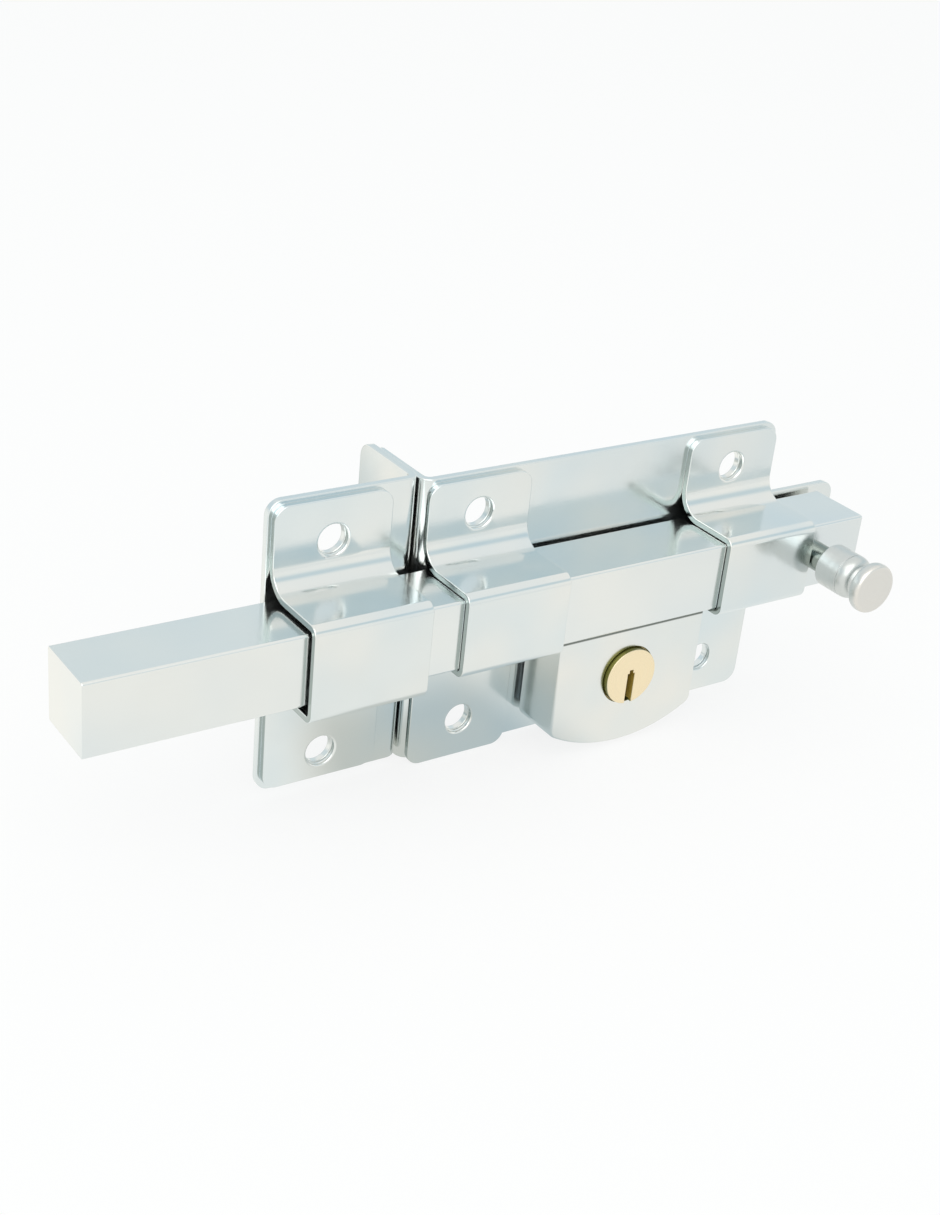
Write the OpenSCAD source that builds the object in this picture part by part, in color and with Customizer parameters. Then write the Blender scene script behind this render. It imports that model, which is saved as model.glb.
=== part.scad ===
// Surface-mounted sliding bolt lock: a square bar runs in two bent guide straps on an
// L-shaped back plate and shoots into a separate keeper. A pin tumbler cylinder under the
// bar turns a cam, and the cam lifts a latch into a notch in the underside of the bar.
// Frame: the origin is on the cylinder's axis at the rear face of the back plate,
// +X runs along the bar towards its pull knob, +Y points into the door, +Z is up.

/* [Bolt bar] */
// Side of the square bar
bar_w = 19; // [18:0.5:20]
// Height of the bar's centre line above the cylinder's axis
bar_rise = 26; // [26:0.5:28]
// How far the thrown bar reaches past the lock's left edge
bar_throw = 96; // [80:1:110]
// Bar beyond the axis of the pull knob
bar_tail = 15.4; // [12:0.2:20]
// How far the withdrawn bar's end stands inside the lock's left edge
bar_inset = 1; // [0.5:0.1:1.4]
// Chamfer of the bar's long edges
bar_chamfer = 0.5; // [0.4:0.1:0.8]
// Gap between the bar and the plates
bar_gap = 1.4; // [1:0.1:2]

/* [Lock plate] */
// Sheet thickness of both plates
plate_t = 2; // [1.6:0.1:2.4]
// Top of the lock plate above the bar's centre line
plate_up = 32.6; // [32:0.2:36]
// Bottom of the lock plate below the bar's centre line
plate_down = 46.5; // [46:0.2:50]
// Depth of the rear flanges that lie against the door's edge and its frame
flange_depth = 25.6; // [20:0.2:35]
// Inner radius of the bend between plate and rear flange
plate_bend_r = 1.5; // [1:0.1:3]
// Rounding of the corners of the plates
corner_r = 4; // [2:0.5:5]
// Margin of plate beside each guide strap
plate_margin = 1; // [0.6:0.1:2]
// Height of the tongue behind the bar's free end
tongue_h = 21.4; // [20:0.2:24]
// Length of the tongue past the plate's right edge
tongue_len = 26.5; // [22:0.5:32]

/* [Guide straps] */
// Sheet thickness of the guide straps and of the keeper's strap
strap_t = 1.7; // [1.4:0.1:2]
// Width of a guide strap along the bar
guide_w = 30.5; // [26:0.5:34]
// Sliding clearance between guide strap and bar
guide_gap = 0.2; // [0.1:0.05:0.4]
// Upper end of the guide straps above the bar's centre line
guide_up = 31.6; // [31:0.2:32]
// Lower end of the guide straps below the bar's centre line
guide_down = 47.8; // [46:0.2:49]
// Radius of the hollow bends at the feet
foot_r = 6; // [4:0.5:6.5]
// Radius of a screw hole
hole_r = 4; // [3:0.1:4.4]
// Upper screw holes above the bar's centre line
hole_up = 22.2; // [21.8:0.1:24]
// Lower screw holes below the bar's centre line
hole_down = 37; // [34:0.5:40]

/* [Keeper] */
// Width of the keeper's strap along the bar
keeper_w = 32; // [28:0.5:36]
// Clearance above and in front of the bar in the keeper
keeper_gap = 0.9; // [0.6:0.1:1.4]
// Extra clearance below the bar in the keeper
keeper_sag = 1.4; // [0:0.1:2]
// Top of the keeper's strap above the bar's centre line
keeper_up = 33; // [32:0.2:34]
// Bottom of the keeper's strap below the bar's centre line
keeper_down = 43.6; // [42:0.2:46]
// Lower screw hole of the keeper below the bar's centre line
keeper_hole_down = 36; // [33:0.5:38]
// Gap between the keeper's rear flange and the lock's
flange_gap = 0.8; // [0.5:0.1:0.9]
// Keeper plate between its rear flange and its strap
keeper_inset = 8.5; // [6:0.5:12]

/* [Pull knob] */
// Radius of the stud's collar
collar_r = 3.8; // [3.5:0.1:4.5]
// Height of the collar in front of the bar
collar_h = 5.9; // [4:0.1:9]
// Radius of the threaded stud
stud_r = 2.9; // [2:0.1:3.2]
// Radius of the knob's barrel
barrel_r = 6.1; // [5.5:0.1:7]
// Length of the knob's barrel
barrel_h = 7.5; // [6.5:0.5:9]
// Length of the domed shoulder in front of the barrel
shoulder_h = 3.2; // [2:0.1:4]
// Radius of the waist behind the head
waist_r = 3.6; // [3.5:0.1:4.2]
// Length of the waist
waist_h = 2.8; // [2:0.1:4]
// Radius of the knob's head
head_r = 7; // [6.2:0.1:8.5]
// Thickness of the knob's head
head_h = 3.4; // [2:0.1:4]
// Clearance between collar and strap when the bar is thrown
knob_gap = 0.3; // [0.2:0.1:0.8]

/* [Lock case] */
// Width of the case
case_w = 47.6; // [46:0.2:52]
// Height of the case's lower corners below the cylinder's axis
case_drop = 13.5; // [13:0.5:16]
// Radius of the case's arched bottom
case_arc_r = 45.7; // [38:0.1:60]
// Rounding of the case's two lower corners
case_corner_r = 2.6; // [2.6:0.1:4]
// How far the case's face lies behind the bar's face
case_recess = 4; // [3.4:0.1:4.4]
// Wall of the case
case_wall = 2.2; // [1.8:0.1:2.3]
// Gap between the case's rim and the back plate
case_stand = 1.5; // [1.2:0.1:1.8]
// Gap between the case's roof and the bar
roof_gap = 0.4; // [0.3:0.1:0.8]
// Gap between the case and the left guide strap
case_left_gap = 4.2; // [3:0.1:6]
// Radius of the case screws
screw_r = 2; // [1.5:0.1:2.2]

/* [Cylinder] */
// Radius of the plug's face
plug_head_r = 8; // [7.9:0.05:8.2]
// Radius of the plug behind its head
plug_r = 7.75; // [7.5:0.05:7.8]
// How far the plug stands proud of the case
plug_proud = 1.5; // [0.5:0.1:2]
// Width of the keyway
key_w = 2.2; // [1.8:0.1:2.6]
// Top of the keyway above the axis
key_up = 1.9; // [1.5:0.1:2.2]
// Radius of the cylinder's body
body_r = 9.3; // [9:0.1:9.6]
// Number of pin chambers
pin_count = 4; // [2:1:4]
// Distance between pins
pin_pitch = 2.05; // [2:0.01:2.08]
// Radius of a pin
pin_r = 0.8; // [0.6:0.05:0.85]
// Running clearance in the cylinder
turn_gap = 0.05; // [0.03:0.01:0.08]

/* [Latch] */
// Rise of the latch in a quarter turn of the plug
latch_lift = 5; // [4.8:0.1:5.2]
// Share of the latch's width that its head takes, the rest being the spring's shoulder
latch_share = 0.62; // [0.55:0.01:0.66]
// Gap between the latch and the cylinder's body
latch_side_gap = 2.1; // [1.8:0.1:2.4]
// Clearance round the latch's head in the bar's notches
notch_gap = 0.5; // [0.3:0.1:0.8]
// Sliding clearance of the latch in the case
latch_gap = 0.2; // [0.1:0.05:0.3]
// Height of the cam's lifting face at rest
cam_base = 4.6; // [4.5:0.05:5]
// Thickness of the cam
cam_t = 2.2; // [1.8:0.1:2.4]
// Radius of the stop pin
stop_r = 3; // [2.5:0.1:3]

/* [Hidden] */
$fn = 64;

eps = 0.01;
over = 1;
steel = [0.80, 0.83, 0.85];
satin = [0.70, 0.72, 0.73];
brass = [0.85, 0.70, 0.38];

// Inner radius of the straps' front bends, which clears the bar's chamfer
front_r = bar_chamfer + guide_gap + 0.3;

// Depths of the stud's threads, and the relief cuts of the knob
stud_in_bar = 8;
stud_in_knob = 6;
thread_end = 0.2;
knob_break = 0.4;
knob_groove = 0.25;

// Planes across the lock, from the door to the front
plate_front = -plate_t;
bar_back = plate_front - bar_gap;
bar_front = bar_back - bar_w;
bar_bottom = bar_rise - bar_w / 2;
case_rear = plate_front - case_stand;
case_front = bar_front + case_recess;
case_inside = case_front + case_wall;

// Places along the bar
case_half = case_w / 2;
right_guide_x = case_half + knob_gap + guide_w / 2;
left_guide_x = -case_half - case_left_gap - guide_w / 2;
lock_right = right_guide_x + guide_w / 2 + plate_margin;
lock_left = left_guide_x - guide_w / 2 - plate_margin;
knob_x = right_guide_x + guide_w / 2 + knob_gap + collar_r;
bar_left = lock_left - bar_throw;
bar_right = knob_x + bar_tail;
bar_travel = bar_throw + bar_inset;
keeper_right = lock_left - flange_gap;
keeper_x = keeper_right - keeper_inset - keeper_w / 2;
keeper_left = keeper_x - keeper_w / 2 - plate_margin;

// Case outline
case_top = bar_bottom - roof_gap;
roof_under = case_top - case_wall;
arc_z = sqrt(case_arc_r * case_arc_r - case_half * case_half) - case_drop;
corner_x = case_half - case_corner_r;
corner_z = arc_z - sqrt(pow(case_arc_r - case_corner_r, 2) - corner_x * corner_x);
cover_inset = 2.4;
boss_r = 3.9;
boss_x = 17.2;
boss_low = -case_drop + 1.2;
boss_high = 9;
boss_places = [[-boss_x, boss_low], [boss_x, boss_low], [boss_x, boss_high]];
screw_gap = 0.05;
screw_len = 9;
sink_r = screw_r + 1.6;
sink_h = 1.6;
tail_hole_r = 8;

// Cylinder, from the front to the rear
plug_front = case_front - plug_proud;
head_seat = case_inside + 0.9;
cam_front = -6.8;
cam_rear = cam_front + cam_t;
body_rear = cam_front - 0.3;
bible_w = 6.4;
bible_top = roof_under - 0.1;
cover_h = 0.9;
cover_w = 3.4;
cover_z = bible_top - cover_h;
chamber_r = pin_r + turn_gap;
bore_r = plug_r + turn_gap;
pin_first = body_rear - chamber_r - 0.15;
key_step = 1;
key_step_w = key_w / 2;
bitting = [0.7, 1.5, 1.0, 1.7];
driver_h = 2.3;
driver_z = bore_r + 0.06;
pin_spring_z = driver_z + driver_h + 0.05;
tail_r = 3.2;
tail_flat = 2.4;
tail_rear = case_rear - 0.1;
clip_t = 0.6;
clip_front = cam_rear + 0.1;
clip_groove_r = 2.5;
lug_r = 12.6;
lug_h = 1.6;
lug_end_r = 2.4;
lug_hole_r = 1.25;
lug_screw_depth = 3.8;
lug_screw_head_r = 1.9;
lug_screw_head_h = 1.1;
lug_angles = [-45, 225];

// Latch
latch_left = -case_half + case_wall + latch_gap;
latch_right = -body_r - latch_side_gap;
latch_w = latch_share * (latch_right - latch_left);
shoulder_w = latch_right - latch_left - latch_w;
latch_front = case_inside + 0.8;
latch_rear = cam_rear + 0.1;
latch_foot = -3;
shoulder_z = 3;
arm_h = 3.2;
arm_end = 1;
cam_rate = latch_lift / (PI / 2);
cam_hub_r = cam_base - 0.15;
notch_depth = latch_lift + 0.6;
spring_x = latch_right - shoulder_w / 2;
spring_y = (latch_front + latch_rear) / 2;
spring_r = shoulder_w / 2 - 0.6;
spring_wire_r = 0.25;

// Stop pin and the groove it runs in
stop_x = -case_half - case_left_gap / 2 - stop_r;
stop_gap = 0.3;
stop_reach = 3;

// A quarter of a bent strip: ring of inner radius r and thickness t in one quadrant
module quarter_ring(r, t, side_a, side_b) {
    intersection() {
        difference() {
            circle(r + t);
            circle(r);
        }
        translate([side_a > 0 ? 0 : -r - t - over, side_b > 0 ? 0 : -r - t - over])
            square(r + t + over);
    }
}

// Extrudes a profile drawn in Y and Z along X, between two places
module along_x(x0, x1) {
    translate([x0, 0, 0]) rotate([90, 0, 90]) linear_extrude(x1 - x0) children();
}

// A cylinder along Y between two depths
module along_y(x, z, r, y0, y1) {
    translate([x, y1, z]) rotate([90, 0, 0]) cylinder(h = y1 - y0, r = r);
}

// What a rounded corner takes off a plate that lies in X and Z
module corner_cut(x, z, side_x, side_z, y0, y1, r) {
    translate([x - side_x * r, y1, z - side_z * r]) rotate([90, 0, 0])
        linear_extrude(y1 - y0) difference() {
            translate([side_x > 0 ? 0 : -r - over, side_z > 0 ? 0 : -r - over]) square(r + over);
            circle(r);
        }
}

// Upper half of a hat-shaped strap in Y and Z: front wall, front bend, web, foot bend, flange
module hat_half(front, half, flange_end) {
    flange_front = plate_front - strap_t;
    foot_z = half + strap_t + foot_r;
    translate([front - strap_t, 0]) square([strap_t, half - front_r]);
    translate([front + front_r, half - front_r]) quarter_ring(front_r, strap_t, -1, 1);
    translate([front + front_r, half]) square([flange_front - foot_r - front - front_r, strap_t]);
    translate([flange_front - foot_r, foot_z]) quarter_ring(foot_r, strap_t, 1, -1);
    translate([flange_front, foot_z]) square([strap_t, flange_end - foot_z]);
}

// A whole strap round the bar, with a screw hole in each flange
module hat_strap(x, w, gap, sag, up, down, low_hole) {
    front = bar_front - gap;
    y0 = plate_front - strap_t - over;
    y1 = plate_front + over;
    difference() {
        translate([0, 0, bar_rise]) along_x(x - w / 2, x + w / 2) {
            hat_half(front, bar_w / 2 + gap, up);
            mirror([0, 1]) hat_half(front, bar_w / 2 + gap + sag, down);
        }
        for (z = [hole_up, -low_hole]) along_y(x, bar_rise + z, hole_r, y0, y1);
        for (side = [-1, 1]) {
            corner_cut(x + side * w / 2, bar_rise + up, side, 1, y0, y1, corner_r);
            corner_cut(x + side * w / 2, bar_rise - down, side, -1, y0, y1, corner_r);
        }
    }
}

// An L-shaped plate seen from above: flat web to x1 and a rear flange at x0
module angle_outline(x0, x1) {
    turn = plate_bend_r + plate_t;
    side = x1 > x0 ? 1 : -1;
    translate([x0 + side * turn, plate_front + turn]) quarter_ring(plate_bend_r, plate_t, -side, -1);
    translate([side > 0 ? x0 + turn : x1, plate_front]) square([abs(x1 - x0) - turn, plate_t]);
    translate([side > 0 ? x0 : x0 - plate_t, plate_front + turn])
        square([plate_t, flange_depth + plate_front - turn + plate_t]);
}

// What rounds the two rear corners of a rear flange at x0
module flange_corner_cuts(x0, z0, z1) {
    for (end = [[z0, -1], [z1, 1]])
        translate([x0, flange_depth - plate_t - corner_r, end[0] - end[1] * corner_r])
            rotate([90, 0, 90]) linear_extrude(4 * plate_t, center = true) difference() {
                translate([0, end[1] > 0 ? 0 : -corner_r - over]) square(corner_r + over);
                circle(corner_r);
            }
}

// Back plate of the lock: sheet with a rear flange on the left and a tongue on the right
module back_plate() {
    z0 = bar_rise - plate_down;
    z1 = bar_rise + plate_up;
    tongue_right = lock_right + tongue_len;
    color(steel) difference() {
        union() {
            translate([0, 0, z0]) linear_extrude(z1 - z0) angle_outline(lock_left, lock_right);
            translate([lock_right - over, plate_front, bar_rise - tongue_h / 2])
                cube([tongue_len + over, plate_t, tongue_h]);
        }
        for (x = [left_guide_x, right_guide_x], z = [hole_up, -hole_down])
            along_y(x, bar_rise + z, hole_r, plate_front - over, over);
        along_y(0, 0, tail_hole_r, plate_front - over, over);
        along_y(stop_x, bar_rise, stop_r + screw_gap, plate_front - over, over);
        for (p = boss_places) {
            along_y(p[0], p[1], screw_r + screw_gap, plate_front - over, over);
            translate([p[0], eps, p[1]]) rotate([90, 0, 0])
                cylinder(h = sink_h + eps, r1 = sink_r + screw_gap, r2 = screw_r + screw_gap);
        }
        corner_cut(lock_right, z1, 1, 1, plate_front - over, over, corner_r);
        corner_cut(lock_right, z0, 1, -1, plate_front - over, over, corner_r);
        for (side = [-1, 1])
            corner_cut(tongue_right, bar_rise + side * tongue_h / 2, 1, side, plate_front - over,
                over, corner_r);
        flange_corner_cuts(lock_left, z0, z1);
    }
}

// Guide strap nearest to the keeper
module left_guide_strap() {
    color(steel) hat_strap(left_guide_x, guide_w, guide_gap, 0, guide_up, guide_down, hole_down);
}

// Guide strap next to the pull knob
module right_guide_strap() {
    color(steel) hat_strap(right_guide_x, guide_w, guide_gap, 0, guide_up, guide_down, hole_down);
}

// Keeper's plate: sheet with its rear flange on the right
module keeper_plate() {
    z0 = bar_rise - keeper_down - plate_margin;
    z1 = bar_rise + keeper_up + plate_margin;
    color(steel) difference() {
        translate([0, 0, z0]) linear_extrude(z1 - z0) angle_outline(keeper_right, keeper_left);
        for (z = [hole_up, -keeper_hole_down])
            along_y(keeper_x, bar_rise + z, hole_r, plate_front - over, over);
        corner_cut(keeper_left, z1, -1, 1, plate_front - over, over, corner_r);
        corner_cut(keeper_left, z0, -1, -1, plate_front - over, over, corner_r);
        flange_corner_cuts(keeper_right, z0, z1);
    }
}

// Keeper's strap, which the thrown bar runs through
module keeper_strap() {
    color(steel)
        hat_strap(keeper_x, keeper_w, keeper_gap, keeper_sag, keeper_up, keeper_down, keeper_hole_down);
}

// What one notch for the latch takes off the bar's underside, at a place along the bar
module latch_notch(x) {
    translate([x - notch_gap, latch_front - notch_gap, bar_bottom - over])
        cube([latch_w + 2 * notch_gap, bar_back + over - latch_front + notch_gap, notch_depth + over]);
}

// Section of the bar in Y and Z: a square with chamfered corners
module bar_section() {
    far = bar_w - bar_chamfer;
    translate([bar_front, bar_bottom]) polygon([[0, bar_chamfer], [bar_chamfer, 0], [far, 0],
        [bar_w, bar_chamfer], [bar_w, far], [far, bar_w], [bar_chamfer, bar_w], [0, far]]);
}

// Square bar with two latch notches, the stop pin's groove and the stud's hole
module bolt_bar() {
    groove_r = stop_r + stop_gap;
    groove_left = stop_x - bar_travel;
    color(steel) difference() {
        along_x(bar_left, bar_right) bar_section();
        latch_notch(latch_left);
        latch_notch(latch_left - bar_travel);
        translate([groove_left, bar_back - stop_reach - stop_gap, bar_rise - groove_r])
            cube([bar_travel, stop_reach + stop_gap + over, 2 * groove_r]);
        for (x = [groove_left, stop_x])
            along_y(x, bar_rise, groove_r, bar_back - stop_reach - stop_gap, bar_back + over);
        along_y(knob_x, bar_rise, stud_r + screw_gap, bar_front - over,
            bar_front + stud_in_bar + thread_end);
    }
}

// Stop pin riveted into the back plate
module bolt_stop_pin() {
    color(satin) along_y(stop_x, bar_rise, stop_r, bar_back - stop_reach, 0);
}

// Stud that carries the knob: thread in the bar, collar, thread in the knob
module knob_stud() {
    color(satin) {
        along_y(knob_x, bar_rise, stud_r, bar_front - eps, bar_front + stud_in_bar);
        along_y(knob_x, bar_rise, collar_r, bar_front - collar_h, bar_front);
        along_y(knob_x, bar_rise, stud_r, bar_front - collar_h - stud_in_knob, bar_front - collar_h + eps);
    }
}

// Points of an arc of an ellipse with half axes rx and rz, from angle a0 to a1
function arc_points(cx, cz, rx, rz, a0, a1, steps) =
    [for (i = [0:steps]) let (a = a0 + (a1 - a0) * i / steps) [cx + rx * cos(a), cz + rz * sin(a)]];

// Turned knob: barrel, a fine groove, domed shoulder, waist and a head with a rounded rim
module pull_knob() {
    groove_z = barrel_h - knob_groove;
    dome_z = barrel_h + knob_groove;
    head_z = barrel_h + shoulder_h + waist_h;
    rim_z = head_h * 0.4;
    rim_r = 0.9;
    barrel = [[0, 0], [barrel_r - knob_break, 0], [barrel_r, knob_break], [barrel_r, groove_z],
        [barrel_r - knob_groove, barrel_h]];
    dome = arc_points(waist_r, dome_z, barrel_r - waist_r, shoulder_h, 0, 80, 8);
    waist = [[waist_r, head_z - 0.3 * waist_h], [waist_r + 0.8, head_z]];
    rim = concat(
        arc_points(head_r - rim_r, head_z + rim_z, rim_r, rim_z, -90, 0, 4),
        arc_points(head_r - rim_r, head_z + head_h - rim_z, rim_r, rim_z, 0, 90, 4));
    back = bar_front - collar_h;
    color(satin) difference() {
        translate([knob_x, back, bar_rise]) rotate([90, 0, 0])
            rotate_extrude() polygon(concat(barrel, dome, waist, rim, [[0, head_z + head_h]]));
        along_y(knob_x, bar_rise, stud_r + screw_gap, back - stud_in_knob - thread_end, back + over);
    }
}

// Outline of the case in X and Z, drawn inwards by a wall: straight sides, an arched bottom
// and two lower corners rounded by circles that touch both the side and the arch
module case_outline(wall) {
    half = case_half - wall;
    touch_x = corner_x * (case_arc_r - wall) / (case_arc_r - case_corner_r);
    translate([-half, corner_z]) square([2 * half, case_top - wall - corner_z]);
    intersection() {
        translate([-touch_x, -case_arc_r]) square([2 * touch_x, case_arc_r + corner_z + over]);
        translate([0, arc_z]) circle(case_arc_r - wall);
    }
    for (side = [-1, 1]) translate([side * corner_x, corner_z]) circle(case_corner_r - wall);
}

// Extrudes a shape drawn in X and Z between two depths
module through_y(y0, y1) {
    translate([0, y1, 0]) rotate([90, 0, 0]) linear_extrude(y1 - y0) children();
}

// Die-cast case, open at the rear, with seats for the cylinder, the latch and the screws
module lock_case() {
    color(steel) difference() {
        union() {
            difference() {
                through_y(case_front, case_rear) case_outline(0);
                through_y(case_inside, case_rear + over) case_outline(case_wall);
            }
            intersection() {
                through_y(case_front + eps, case_rear) case_outline(eps);
                union() {
                    along_y(0, 0, body_r + 1.8, case_inside - eps, body_rear - lug_h);
                    for (a = lug_angles) along_y(lug_r * cos(a), lug_r * sin(a), lug_end_r,
                        case_inside - eps, body_rear - lug_h);
                    for (p = boss_places) along_y(p[0], p[1], boss_r, case_inside - eps, case_rear);
                    translate([latch_right + latch_gap, case_inside - eps, shoulder_z])
                        cube([1.4, body_rear - lug_h - case_inside, roof_under - shoulder_z + eps]);
                }
            }
        }
        along_y(0, 0, plug_head_r + 0.25, case_front - over, case_inside + over);
        along_y(0, 0, body_r + turn_gap, case_inside, case_rear + over);
        translate([-bible_w / 2 - turn_gap, case_inside, 0])
            cube([bible_w + 2 * turn_gap, case_rear - case_inside + over, roof_under]);
        translate([latch_left - latch_gap, latch_front - latch_gap, latch_foot - 0.4])
            cube([latch_right - latch_left + 2 * latch_gap, case_rear - latch_front + latch_gap + over,
                roof_under - latch_foot + 0.4]);
        translate([latch_left - latch_gap, latch_front - latch_gap, roof_under - over])
            cube([latch_w + 2 * latch_gap, case_rear - latch_front + latch_gap + over,
                case_wall + 2 * over]);
        for (a = lug_angles) along_y(lug_r * cos(a), lug_r * sin(a), lug_hole_r + screw_gap,
            body_rear - lug_h - lug_screw_depth - thread_end, body_rear);
        for (p = boss_places)
            along_y(p[0], p[1], screw_r + screw_gap, plate_front - screw_len, case_rear + over);
    }
}

// Pressed cover that closes the case and stands it off the back plate
module case_back_cover() {
    color(satin) difference() {
        through_y(case_rear, plate_front) intersection() {
            case_outline(cover_inset);
            translate([-case_half, -case_arc_r]) square([case_w, case_arc_r + roof_under - 1]);
        }
        along_y(0, 0, tail_hole_r + 0.5, case_rear - over, plate_front + over);
        for (p = boss_places)
            along_y(p[0], p[1], screw_r + screw_gap, case_rear - over, plate_front + over);
    }
}

// Countersunk screws that hold the case from behind the back plate
module case_screws() {
    color(satin) for (p = boss_places) difference() {
        union() {
            translate([p[0], 0, p[1]]) rotate([90, 0, 0]) cylinder(h = sink_h, r1 = sink_r, r2 = screw_r);
            along_y(p[0], p[1], screw_r, plate_front - screw_len + thread_end, -sink_h + eps);
        }
        for (turn = [0, 90]) translate([p[0], 0, p[1]]) rotate([0, turn, 0])
            cube([0.7, 1.8, 3.6], center = true);
    }
}

// Cylinder body: barrel with the plug's bore, two screw lugs and the upright pin housing
module cylinder_body() {
    color(brass) difference() {
        union() {
            along_y(0, 0, body_r, case_inside, body_rear);
            translate([-bible_w / 2, case_inside, 0]) cube([bible_w, body_rear - case_inside, bible_top]);
            for (a = lug_angles) {
                along_y(lug_r * cos(a), lug_r * sin(a), lug_end_r, body_rear - lug_h, body_rear);
                translate([0, body_rear - lug_h, 0]) rotate([0, -a, 0])
                    translate([0, 0, -lug_end_r]) cube([lug_r, lug_h, 2 * lug_end_r]);
            }
        }
        along_y(0, 0, bore_r, case_inside - over, body_rear + over);
        along_y(0, 0, plug_head_r + turn_gap, case_inside - over, head_seat);
        for (i = [0:pin_count - 1])
            translate([0, pin_first - i * pin_pitch, 0])
                cylinder(h = bible_top - cover_h + eps, r = chamber_r);
        translate([-cover_w / 2 - turn_gap, case_inside + 0.6, cover_z])
            cube([cover_w + 2 * turn_gap, body_rear - case_inside - 0.6 + over, cover_h + over]);
        for (a = lug_angles) along_y(lug_r * cos(a), lug_r * sin(a), lug_hole_r + screw_gap,
            body_rear - lug_h - over, body_rear + over);
    }
}

// Plug: head, barrel, keyway with its stepped top, pin chambers and a flatted tail
module cylinder_plug() {
    neck_y = clip_front - 0.05;
    color(brass) difference() {
        union() {
            along_y(0, 0, plug_head_r, plug_front, head_seat - turn_gap);
            along_y(0, 0, plug_r, plug_front + over, body_rear + 0.1);
            intersection() {
                along_y(0, 0, tail_r, body_rear, tail_rear);
                translate([-tail_flat, body_rear, -tail_r])
                    cube([2 * tail_flat, tail_rear - body_rear, 2 * tail_r]);
            }
        }
        translate([-key_w / 2, plug_front - over, -plug_head_r - over])
            cube([key_w, body_rear - plug_front + over, plug_head_r + over + key_up - key_step]);
        translate([-key_step_w / 2, plug_front - over, key_up - key_step - eps])
            cube([key_step_w, body_rear - plug_front + over, key_step + eps]);
        for (i = [0:pin_count - 1])
            translate([0, pin_first - i * pin_pitch, 0]) cylinder(h = plug_head_r + over, r = chamber_r);
        difference() {
            along_y(0, 0, tail_r + over, neck_y, neck_y + clip_t + 0.1);
            along_y(0, 0, clip_groove_r - screw_gap, neck_y - over, neck_y + clip_t + over);
        }
        translate([-0.8, tail_rear - 0.5, -tail_r - over]) cube([1.6, 0.5 + over, 2 * (tail_r + over)]);
    }
}

// Key pins, standing at the shear line as the right key lifts them
module key_pins() {
    top = plug_r - 0.08;
    color(brass) for (i = [0:pin_count - 1]) translate([0, pin_first - i * pin_pitch, bitting[i]]) {
        translate([0, 0, 0.6]) cylinder(h = top - 0.6 - bitting[i], r = pin_r);
        cylinder(h = 0.6 + eps, r1 = pin_r * 0.4, r2 = pin_r);
    }
}

// Driver pins, just above the shear line
module driver_pins() {
    color(satin) for (i = [0:pin_count - 1])
        translate([0, pin_first - i * pin_pitch, driver_z]) cylinder(h = driver_h, r = pin_r);
}

// One ring of points of a coil spring's wire, at a turn angle and height
function wire_ring(coil_r, wire_r, sides, a, z) =
    [for (k = [0:sides - 1]) let (b = 360 * k / sides, r = coil_r + wire_r * cos(b))
        [r * cos(a), r * sin(a), z + wire_r * sin(b)]];

// Coil spring along Z: the wire's ring swept up a helix and closed at both ends
module coil_spring(coil_r, wire_r, h, turns, sides, per_turn) {
    rings = turns * per_turn;
    rise = h - 2 * wire_r;
    points = [for (i = [0:rings])
        each wire_ring(coil_r, wire_r, sides, 360 * i / per_turn, wire_r + rise * i / rings)];
    sides_faces = [for (i = [0:rings - 1], k = [0:sides - 1]) let (n = (k + 1) % sides)
        [i * sides + k, (i + 1) * sides + k, (i + 1) * sides + n, i * sides + n]];
    first = [for (k = [0:sides - 1]) k];
    last = [for (k = [sides - 1:-1:0]) rings * sides + k];
    polyhedron(points, concat(sides_faces, [first], [last]), convexity = 10);
}

// Springs that press the driver pins down
module pin_springs() {
    color(satin) for (i = [0:pin_count - 1]) translate([0, pin_first - i * pin_pitch, pin_spring_z])
        coil_spring(pin_r - 0.2, 0.13, cover_z - 0.05 - pin_spring_z, 5, 6, 10);
}

// Strip that closes the pin chambers
module chamber_cover() {
    color(brass) translate([-cover_w / 2, case_inside + 0.6 + turn_gap, cover_z + 0.02])
        cube([cover_w, body_rear - case_inside - 0.6 - turn_gap, cover_h - 0.04]);
}

// Screws that hold the cylinder's lugs to the case
module cylinder_screws() {
    color(satin) for (a = lug_angles) translate([lug_r * cos(a), 0, lug_r * sin(a)]) difference() {
        union() {
            along_y(0, 0, lug_screw_head_r, body_rear, body_rear + lug_screw_head_h);
            along_y(0, 0, lug_hole_r, body_rear - lug_h - lug_screw_depth, body_rear + eps);
        }
        translate([-0.25, body_rear + 0.5, -lug_screw_head_r - over])
            cube([0.5, over, 2 * (lug_screw_head_r + over)]);
    }
}

// Point of the cam's lifting face whose outward normal stands at an angle from +X:
// the height of the face grows evenly with the angle, so a flat latch arm rises evenly
function cam_point(a) = let (p = cam_base + cam_rate * (a - 90) * PI / 180)
    [p * cos(a) - cam_rate * sin(a), p * sin(a) + cam_rate * cos(a)];

// Snail cam on the plug's tail
module plug_cam() {
    face = [for (i = [0:20]) cam_point(88 + i * 5)];
    color(satin) difference() {
        through_y(cam_front, cam_rear) {
            circle(cam_hub_r);
            polygon(concat([[0, 0]], [cam_point(84)], face, [[-1.5, -cam_hub_r + 0.2]]));
        }
        intersection() {
            along_y(0, 0, tail_r + screw_gap, cam_front - over, cam_rear + over);
            translate([-tail_flat - screw_gap, cam_front - over, -tail_r - over])
                cube([2 * (tail_flat + screw_gap), cam_t + 2 * over, 2 * (tail_r + over)]);
        }
    }
}

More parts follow.
